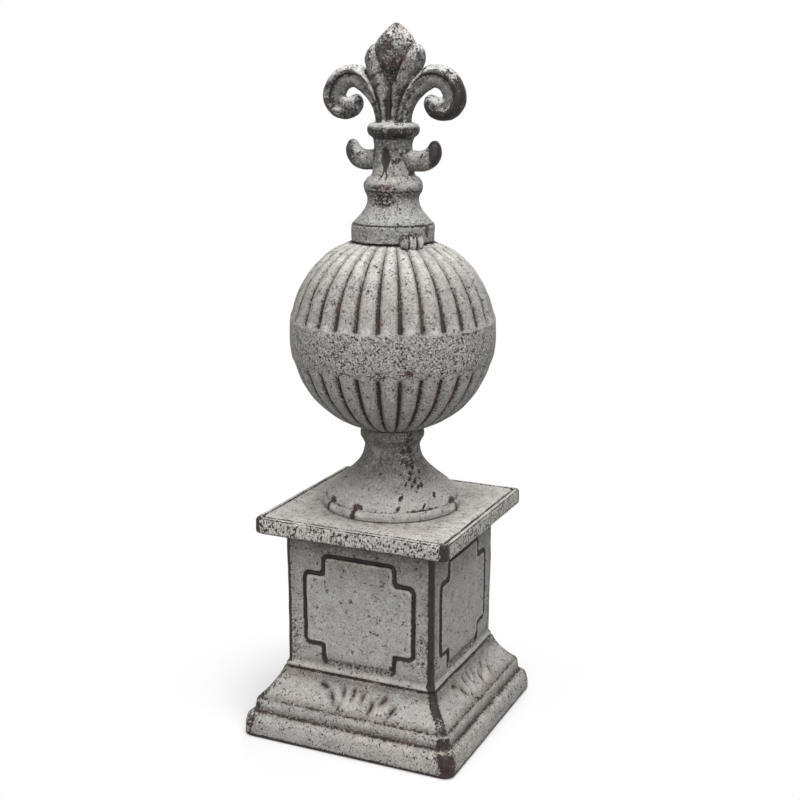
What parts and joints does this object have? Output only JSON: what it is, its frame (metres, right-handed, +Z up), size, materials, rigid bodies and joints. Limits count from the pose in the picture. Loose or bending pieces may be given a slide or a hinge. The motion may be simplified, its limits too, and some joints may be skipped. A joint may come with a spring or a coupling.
{
  "type": "fleur-de-lis roof finial",
  "caption": "Free-standing roof finial: a panelled square pedestal with a stepped base, a reeded globe with a plain belt on a flared foot, and a fleur-de-lis on a turned collar",
  "frame": {"origin": "centre of the pedestal's underside, on the ground plane", "axes": "+Z up through the finial's axis; the broad side of the fleur-de-lis faces -Y, its scrolls reach along X; pedestal faces are square to X and Y"},
  "size_m": [0.229, 0.229, 0.7001],
  "materials": {
    "pedestal_paint": "matte distressed grey paint, worn to dark brown at edges and in grooves",
    "globe_paint": "matte distressed grey paint, pitted, dark grooves",
    "crest_paint": "matte distressed grey paint, flaked to dark brown on the high points"
  },
  "bodies": {
    "root": {"pedestal": "pedestal_paint", "globe": "globe_paint", "crest": "crest_paint"}
  },
  "joints": []
}
